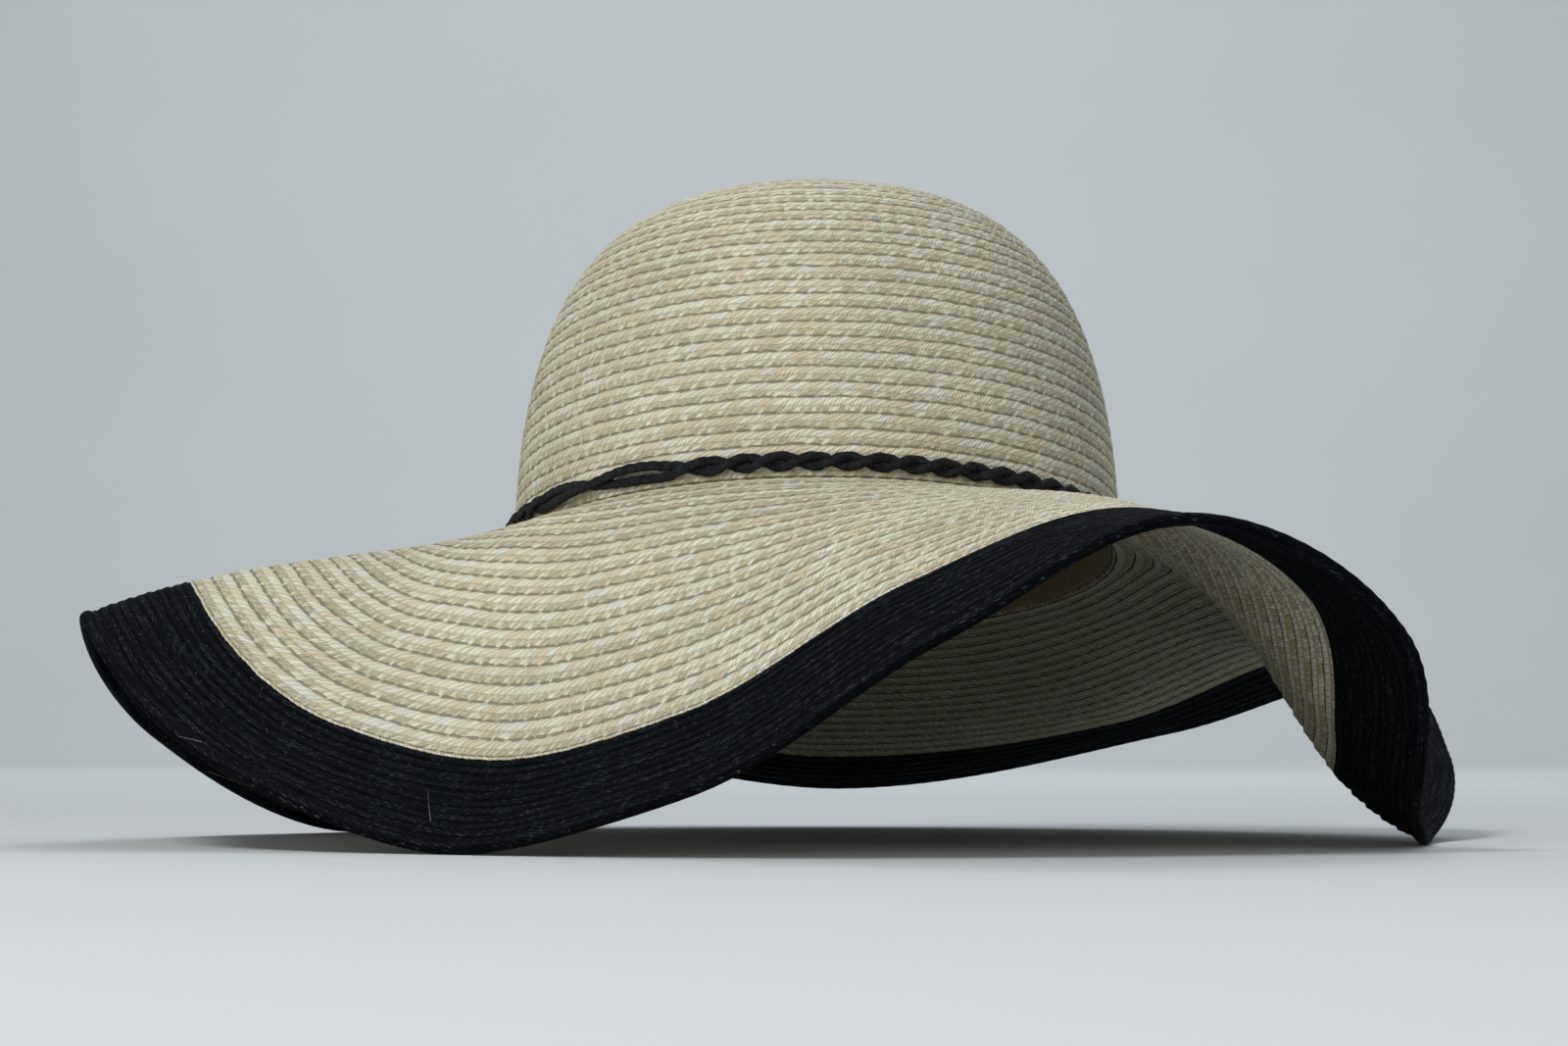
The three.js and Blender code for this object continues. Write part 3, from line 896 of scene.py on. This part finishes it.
def uneven_rows(azimuth, rows, strength):
    """Seams wander a little, and each ring is shifted with the seams before and after it."""
    shifts = {seam: wavy_noise(azimuth, strength) for seam in np.unique(np.round(rows))}
    still = np.zeros(len(azimuth))
    rings = []
    for row in rows:
        seam = np.floor(row)
        share = row - seam
        rings.append(shifts.get(seam, still) * (1 - share) + shifts.get(seam + 1, still) * share)
    return np.stack(rings, 1)


def crown_piece():
    """The crown, closed at its tip and open at its foot."""
    azimuth, turns = ring_turns(CROWN_STEPS)
    middles = np.tile(np.arange(CROWN_ROWS) + 0.5, (CROWN_STEPS, 1))
    counts = plait_counts(ring_lengths(crown_middle(azimuth, middles)))
    grids = []
    for profile, side in ((OUTSIDE_ROW, 1), (CROWN_LINING_ROW, -1)):
        rows, heights = row_rings(profile, CROWN_ROWS)
        rows[0] = TIP_RING
        height, shift = relief(turns, rows, heights, counts, PLAIT_PUFF, EDGE_SCALLOP)
        wander = uneven_rows(azimuth, rows, CROWN_WANDER)
        wander = wander * np.clip(rows / CALM_TIP_ROWS, 0, 1) * (rows < CROWN_ROWS)
        points = crown_middle(azimuth, rows[None] + shift + wander)
        normal = ring_normals(crown_middle(azimuth, np.tile(rows, (CROWN_STEPS, 1))))
        grids.append((points + side * normal * (HALF_WALL + height)[..., None], rows))
    return wall_piece("straw_crown", grids, counts, [straw_outside, straw_underside], tip=True)


def brim_counts(pitch, first, rows):
    """How many plaits each row of one part of the brim has."""
    azimuth = np.arange(0, 360, PERIMETER_STEP)
    distance = first + (np.arange(rows) + 0.5) * pitch
    return plait_counts(ring_lengths(brim_middle(azimuth, np.tile(distance, (len(azimuth), 1)))))


def brim_wall(name, around, first, pitch, counts, sides, materials):
    """A brim piece. Its upper and its lower side are given as rings, puff, scallop and wander."""
    azimuth, turns = ring_turns(around)
    grids = []
    for ((rows, heights), puff, scallop, wander), side in zip(sides, (1, -1)):
        height, shift = relief(turns, rows, heights, counts, puff, scallop)
        inside = (rows > rows[0] + 0.5) & (rows < rows[-1] - 0.5)
        table = rows[None] + shift + uneven_rows(azimuth, rows, wander) * inside[None]
        points = brim_middle(azimuth, first + table * pitch)
        normal = ring_normals(brim_middle(azimuth, np.tile(first + rows * pitch, (around, 1))))
        grids.append((points + side * normal * (HALF_WALL + height)[..., None], rows))
    return wall_piece(name, grids, counts, materials)


def natural_brim():
    """Rows of natural braid, from the foot under the crown to the last row on the dark braid."""
    pitch = NATURAL_WIDTH / NATURAL_ROWS
    counts = brim_counts(pitch, 0, NATURAL_ROWS)
    foot = [(-0.15, -0.2)]
    upper_edge = [(NATURAL_ROWS - 0.05, 0.16), (NATURAL_ROWS + 0.02, -0.45)]
    lower_edge = [(NATURAL_ROWS - 0.22, 0.06), (NATURAL_ROWS - 0.17, -1.1), (NATURAL_ROWS, -1.12)]
    upper = rings_between(foot, OUTSIDE_ROW, NATURAL_ROWS, upper_edge)
    lower = rings_between(foot, INSIDE_ROW, NATURAL_ROWS, lower_edge)
    return brim_wall(
        "straw_brim",
        BRIM_STEPS,
        0.0,
        pitch,
        counts,
        (
            (upper, PLAIT_PUFF, EDGE_SCALLOP, UPPER_WANDER),
            (lower, PLAIT_PUFF * UNDERSIDE_PUFF_SHARE, 0.0, LOWER_WANDER),
        ),
        [straw_outside, straw_underside],
    )


# Rolled edge: distance from the head opening and half thickness
ROLLED_EDGE = [
    (115.9, 0.52),
    (116.6, 0.95),
    (117.15, 0.62),
    (117.6, 1.12),
    (118.3, 1.5),
    (119.3, 1.62),
    (120.2, 1.34),
    (120.75, 0.74),
    (120.98, 0.28),
]


def dark_border():
    """Rows of dark braid that start under the natural braid and end in the rolled edge."""
    pitch = (BRIM_WIDTH - NATURAL_WIDTH) / DARK_ROWS
    counts = brim_counts(pitch, NATURAL_WIDTH, DARK_ROWS)
    roll = [((place - NATURAL_WIDTH) / pitch, half - HALF_WALL) for place, half in ROLLED_EDGE]
    upper_start = [(-0.22, -0.72), (0.02, -0.7), (0.06, -0.4)]
    lower_start = [(-0.26, -0.2), (-0.18, 0.24)]
    upper = rings_between(upper_start, OUTSIDE_ROW, DARK_ROWS - 1, roll)
    lower = rings_between(lower_start, INSIDE_ROW, DARK_ROWS - 1, roll)
    return brim_wall(
        "dark_brim_border",
        BORDER_STEPS,
        NATURAL_WIDTH,
        pitch,
        counts,
        (
            (upper, DARK_PUFF, DARK_SCALLOP, UPPER_WANDER),
            (lower, DARK_PUFF, 0.0, LOWER_WANDER),
        ),
        [dark_outside, dark_underside],
    )


# Band: two strands that twist around each other. They cross at these azimuths at the front,
# and evenly elsewhere; between the first two the upper strand has worked loose.
STRAND_RADIUS = 1.3
STRAND_FLATNESS = 0.62
STRAND_GAP = 0.06
WALL_GAP = 0.3
BAND_HEIGHT = 4.7
BAND_WANDER = 0.1
CROSSINGS = [-60.0, -27.5, -19.0, -12.5]
EVEN_CROSSING = 6.0
LOOSE_LIFT = 1.7
LOOSE_DROP = 0.2
LOOSE_POWER = 0.8
PLIES = 3
PLY_TURNS = 150
YARN_STEP = 0.27


def strand_phase(azimuth):
    """Half turns of the two strands around each other since the first crossing."""
    gap = 360 - (CROSSINGS[-1] - CROSSINGS[0])
    count = 2 * round(gap / EVEN_CROSSING / 2) + 1
    rest = np.linspace(CROSSINGS[-1], CROSSINGS[0] + 360, count + 1)
    places = np.r_[CROSSINGS, rest[1:]]
    turned = (azimuth - CROSSINGS[0]) % 360 + CROSSINGS[0]
    return np.interp(turned, places, np.arange(len(places)))


def band_strand(name, half_turn):
    """One of the two strands, with the bulges of its plies."""
    azimuth, _ = ring_turns(BAND_STEPS)
    phase = strand_phase(azimuth)
    angle = math.pi * (phase + 0.5) + half_turn
    lift = np.sin(angle)
    outwards = np.clip(np.cos(angle), 0, None)
    loose = (phase < 1) * np.sin(math.pi * np.clip(phase, 0, 1)) ** LOOSE_POWER
    spread = STRAND_RADIUS + STRAND_GAP + loose * np.where(lift > 0, LOOSE_LIFT, LOOSE_DROP)
    height = BAND_HEIGHT + lift * spread + wavy_noise(azimuth, BAND_WANDER)
    thin = STRAND_RADIUS * STRAND_FLATNESS
    stand_off = HALF_WALL + WALL_GAP + thin + outwards * 2.0 * thin
    line = crown_wall_at(azimuth, height, stand_off)
    ahead = np.roll(line, -1, 0) - np.roll(line, 1, 0)
    ahead /= np.linalg.norm(ahead, axis=1, keepdims=True)
    side_way = np.cross(ahead, (0, 0, 1.0))
    side_way /= np.linalg.norm(side_way, axis=1, keepdims=True)
    up_way = np.cross(side_way, ahead)
    turn = np.arange(BAND_SIDES) * 2 * math.pi / BAND_SIDES
    twist = PLY_TURNS * np.radians(azimuth)[:, None]
    bulge = np.abs(np.cos((PLIES * turn[None] + twist) / 2))
    radius = STRAND_RADIUS * (0.86 + 0.18 * bulge)
    rings = (
        line[:, None]
        + side_way[:, None] * (np.cos(turn) * radius)[..., None] * STRAND_FLATNESS
        + up_way[:, None] * (np.sin(turn) * radius)[..., None]
    )
    return tube_piece(name, rings, np.arange(BAND_STEPS + 1) * YARN_STEP, 1.0, black_cord)


EDGE_YARN_PLACE = NATURAL_WIDTH + 0.05
EDGE_YARN_RADIUS = 0.42
EDGE_YARN_LUMP = 2.4
EDGE_YARN_ROUNDNESS = 0.7
EDGE_YARN_FLATNESS = 0.9
EDGE_YARN_LIFT = 0.75
EDGE_YARN_WANDER = 0.1


def edge_yarn():
    """The outermost yarn of the natural braid: small lumps that lie on the dark braid."""
    azimuth, _ = ring_turns(EDGE_YARN_STEPS)
    near = brim_middle(azimuth, np.tile(EDGE_YARN_PLACE + PROBE, (EDGE_YARN_STEPS, 1)))
    middle = near[:, 1]
    normal = ring_normals(near)[:, 1]
    ahead = np.roll(middle, -1, 0) - np.roll(middle, 1, 0)
    step = np.linalg.norm(ahead, axis=1) / 2
    ahead /= np.linalg.norm(ahead, axis=1, keepdims=True)
    outward = np.cross(ahead, normal)
    length = np.r_[0, np.cumsum(step)[:-1]]
    lumps = round(step.sum() / EDGE_YARN_LUMP)
    place = length / step.sum() * lumps
    bulge = np.abs(np.sin(math.pi * place)) ** EDGE_YARN_ROUNDNESS
    centre = middle + normal * EDGE_YARN_LIFT
    centre = centre + outward * wavy_noise(azimuth, EDGE_YARN_WANDER, finest=160)[:, None]
    turn = np.arange(EDGE_YARN_SIDES) * 2 * math.pi / EDGE_YARN_SIDES
    radius = (EDGE_YARN_RADIUS * (0.62 + 0.42 * bulge))[:, None]
    rings = (
        centre[:, None]
        + outward[:, None] * (np.cos(turn) * radius)[..., None]
        + normal[:, None] * (np.sin(turn) * radius)[..., None] * EDGE_YARN_FLATNESS
    )
    return tube_piece("natural_edge_yarn", rings, np.r_[place, lumps] / LUMPS, 0.5, straw_outside)


# Sweatband: sizes, and its rings from the top down as height and share of the thickness
SWEATBAND_HEIGHT = 30
SWEATBAND_INSET = 1.55
SWEATBAND_HALF_THICKNESS = 0.3
SWEATBAND_RIPPLE = 0.12
SWEATBAND_SAG = 0.25
SAG_UP = 0.5
SAG_INWARD = 0.15
RIB_LENGTH = 0.9
RIB_HEIGHT = 0.06
SWEATBAND_RINGS = [
    (SWEATBAND_HEIGHT, 0.5),
    (29.6, 1.0),
    (28.6, 1.0),
    (27.8, 0.85),
    (24, 0.85),
    (20, 0.85),
    (16, 0.85),
    (12, 0.85),
    (8, 0.85),
    (4, 0.85),
    (2.2, 0.85),
    (1.6, 1.0),
    (0.6, 1.0),
    (0.1, 0.5),
]


def sweatband_piece():
    """The ribbon inside the crown's foot, with ribs and a slight ripple."""
    azimuth, _ = ring_turns(SWEATBAND_STEPS)
    heights, thickness = np.array(SWEATBAND_RINGS).T
    ribs = round(ring_lengths(opening_at(azimuth)[0]) / RIB_LENGTH)
    rib = RIB_HEIGHT * np.cos(2 * math.pi * ribs * azimuth / 360)
    ripple = wavy_noise(azimuth, SWEATBAND_RIPPLE, finest=60)
    sag = wavy_noise(azimuth, SWEATBAND_SAG, finest=24)
    rows = heights[::-1] / SWEATBAND_HEIGHT
    grids = []
    for side in (1, -1):
        rings = []
        for height, share in zip(heights, thickness):
            up = height / SWEATBAND_HEIGHT
            stand_off = -SWEATBAND_INSET - ripple * up - SAG_INWARD * np.abs(sag) * up
            stand_off = stand_off + side * (SWEATBAND_HALF_THICKNESS * share + rib)
            rings.append(crown_wall_at(azimuth, height + sag * SAG_UP, stand_off))
        grids.append((np.stack(rings, 1), rows))
    return wall_piece("grosgrain_sweatband", grids, np.array([ribs]), [tan_ribbon, tan_ribbon])


# Stray hairs: how much they bend and taper, how deep they start, share on the upper side
HAIR_STEPS = 6
HAIR_SIDES = 3
HAIR_BEND = 0.55
HAIR_CURL = 0.6
HAIR_TAPER = 0.75
HAIR_DEPTH = 0.3
UPPER_HAIRS = 0.65


def hair_piece(name, material, roots, normals, lengths, thickness, lean):
    """Thin tapered hairs that start in the straw and bend as they leave it."""
    vertices, faces = [], []
    for root, normal, length in zip(roots, normals, lengths):
        sideways = rng.normal(size=3)
        sideways -= normal * sideways.dot(normal)
        sideways /= np.linalg.norm(sideways)
        cross = np.cross(normal, sideways)
        bend = rng.normal(size=3) * HAIR_BEND
        start = len(vertices)
        for k in range(HAIR_STEPS + 1):
            t = k / HAIR_STEPS
            direction = normal * (1 - lean) * t + sideways * lean * t + bend * t * t * HAIR_CURL
            centre = root - normal * HAIR_DEPTH + direction * length
            radius = thickness / 2 * (1 - HAIR_TAPER * t)
            for s in range(HAIR_SIDES):
                angle = 2 * math.pi * s / HAIR_SIDES
                beside = cross * math.cos(angle) + normal * math.sin(angle)
                vertices.append(centre + beside * radius)
        for k in range(HAIR_STEPS):
            for s in range(HAIR_SIDES):
                a = start + k * HAIR_SIDES + s
                b = start + k * HAIR_SIDES + (s + 1) % HAIR_SIDES
                faces.append((a, b, b + HAIR_SIDES, a + HAIR_SIDES))
        faces.append(tuple(start + s for s in range(HAIR_SIDES))[::-1])
        faces.append(tuple(start + HAIR_STEPS * HAIR_SIDES + s for s in range(HAIR_SIDES)))
    placed = laid(np.array(vertices))
    placed[:, 2] = np.maximum(placed[:, 2], 0)
    return solid_piece(name, placed, faces, [material])


def brim_spots(azimuth, distance, side):
    """Points and normals on the upper (1) or lower (-1) face of the brim."""
    near = distance[:, None] + PROBE
    middle = brim_middle(azimuth, near)
    beside = brim_middle(azimuth + PROBE_TURN, near)
    normal = np.cross(middle[:, 2] - middle[:, 0], beside[:, 1] - middle[:, 1])
    normal *= side / np.linalg.norm(normal, axis=1, keepdims=True)
    return middle[:, 1] + normal * HALF_WALL, normal


def stray_hairs(name, material, count, near, far, lengths, thickness, lean):
    """Hairs all over the brim between two distances from the head opening."""
    azimuth = rng.uniform(-180, 180, count)
    distance = rng.uniform(near, far, count)
    upper, up_normal = brim_spots(azimuth, distance, 1)
    lower, down_normal = brim_spots(azimuth, distance, -1)
    is_upper = rng.random(count)[:, None] < UPPER_HAIRS
    roots = np.where(is_upper, upper, lower)
    normals = np.where(is_upper, up_normal, down_normal)
    size = rng.uniform(*lengths, count)
    return hair_piece(name, material, roots, normals, size, thickness, lean)


crown = crown_piece()
brim = natural_brim()
border = dark_border()
edge = edge_yarn()
lower_strand = band_strand("band_strand_a", 0.0)
upper_strand = band_strand("band_strand_b", math.pi)
sweatband = sweatband_piece()
pale_strays = stray_hairs(
    "pale_stray_hairs",
    pale_hair,
    count=26,
    near=60,
    far=120,
    lengths=(5, 12),
    thickness=0.1,
    lean=0.78,
)
dark_strays = stray_hairs(
    "dark_stray_hairs",
    dark_hair,
    count=260,
    near=92,
    far=120.5,
    lengths=(1.5, 4.5),
    thickness=0.08,
    lean=0.6,
)

for piece, material_slot, nodes in (
    (crown, "natural_straw", ["crown"]),
    (brim, "natural_straw", ["brim"]),
    (edge, "natural_straw", []),
    (border, "dark_straw", ["brim_border"]),
    (lower_strand, "band_cord", ["band_cord_lower"]),
    (upper_strand, "band_cord", ["band_cord_upper"]),
    (sweatband, "sweatband_ribbon", ["sweatband"]),
    (pale_strays, "natural_straw", []),
    (dark_strays, "dark_straw", []),
):
    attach(piece, "root")
    if nodes:
        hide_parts(*nodes)


# Floor, light and camera, in metres
FLOOR_WIDTH = 12.0
FLOOR_FRONT = -5.0
FLOOR_BACK = 3.0
FLOOR_BEND = 1.5
FLOOR_BEND_STEPS = 16
WALL_TOP = 4.0
FLOOR_CLOUDS = 3.0
FLOOR_DARK = (0.60, 0.62, 0.63, 1.0)
FLOOR_LIGHT = (0.64, 0.66, 0.67, 1.0)


def studio_floor():
    """Pale floor that curves up into a pale wall far behind the hat."""
    profile = [(FLOOR_FRONT, 0.0), (FLOOR_BACK, 0.0)]
    for step in range(1, FLOOR_BEND_STEPS + 1):
        angle = math.pi / 2 * step / FLOOR_BEND_STEPS
        back = FLOOR_BACK + FLOOR_BEND * math.sin(angle)
        profile.append((back, FLOOR_BEND * (1 - math.cos(angle))))
    profile.append((FLOOR_BACK + FLOOR_BEND, WALL_TOP))
    vertices = [(x, y, z) for y, z in profile for x in (-FLOOR_WIDTH / 2, FLOOR_WIDTH / 2)]
    faces = [(2 * k, 2 * k + 1, 2 * k + 3, 2 * k + 2) for k in range(len(profile) - 1)]
    material, g, shader = new_material("pale_floor")
    share = g.noise(g.place(), FLOOR_CLOUDS)
    g.set(shader.inputs["Base Color"], g.blend(share, FLOOR_DARK, FLOOR_LIGHT))
    shader.inputs["Roughness"].default_value = 0.8
    shader.inputs["Specular IOR Level"].default_value = 0.2
    return solid_piece("studio_floor", np.array(vertices), faces, [material])


def area_light(name, place, aim, size, power, colour):
    """A round lamp that shines at a point."""
    data = bpy.data.lights.new(name, "AREA")
    data.shape = "DISK"
    data.size = size
    data.energy = power
    data.color = colour
    light = bpy.data.objects.new(name, data)
    light.location = place
    light.rotation_euler = (Vector(aim) - Vector(place)).to_track_quat("-Z", "Y").to_euler()
    bpy.context.scene.collection.objects.link(light)


studio_floor()
HAT_MIDDLE = (0.0, 0.0, 0.09)
area_light("key", (-0.75, -1.3, 1.35), HAT_MIDDLE, 0.5, 20, (1.0, 0.99, 0.97))
area_light("low_fill", (-1.1, -2.4, 0.5), HAT_MIDDLE, 1.4, 16, (1.0, 0.99, 0.97))
area_light("fill", (1.6, -1.6, 0.9), HAT_MIDDLE, 1.6, 5, (0.93, 0.97, 1.0))
area_light("back", (0.3, 1.3, 1.6), HAT_MIDDLE, 1.2, 10, (0.95, 0.98, 1.0))
area_light("wall", (0.0, 2.2, 2.2), (0.0, 4.3, 0.4), 1.8, 30, (0.97, 0.99, 1.0))

world = bpy.data.worlds.new("studio")
world.use_nodes = True
world.node_tree.nodes["Background"].inputs["Color"].default_value = (0.80, 0.88, 0.95, 1.0)
world.node_tree.nodes["Background"].inputs["Strength"].default_value = 0.36
bpy.context.scene.world = world
bpy.context.scene.view_settings.view_transform = "Standard"

CAMERA_PLACE = Vector((0.0, -1.30, 0.030))
CAMERA_AIM = Vector((0.0, 0.0, 0.088))
FIELD_OF_VIEW = 18.93
SENSOR_WIDTH = 36
camera_data = bpy.data.cameras.new("camera")
camera_data.sensor_width = SENSOR_WIDTH
camera_data.lens = SENSOR_WIDTH / 2 / math.tan(math.radians(FIELD_OF_VIEW / 2))
camera = bpy.data.objects.new("camera", camera_data)
camera.location = CAMERA_PLACE
camera.rotation_euler = (CAMERA_AIM - CAMERA_PLACE).to_track_quat("-Z", "Y").to_euler()
bpy.context.scene.collection.objects.link(camera)
bpy.context.scene.camera = camera
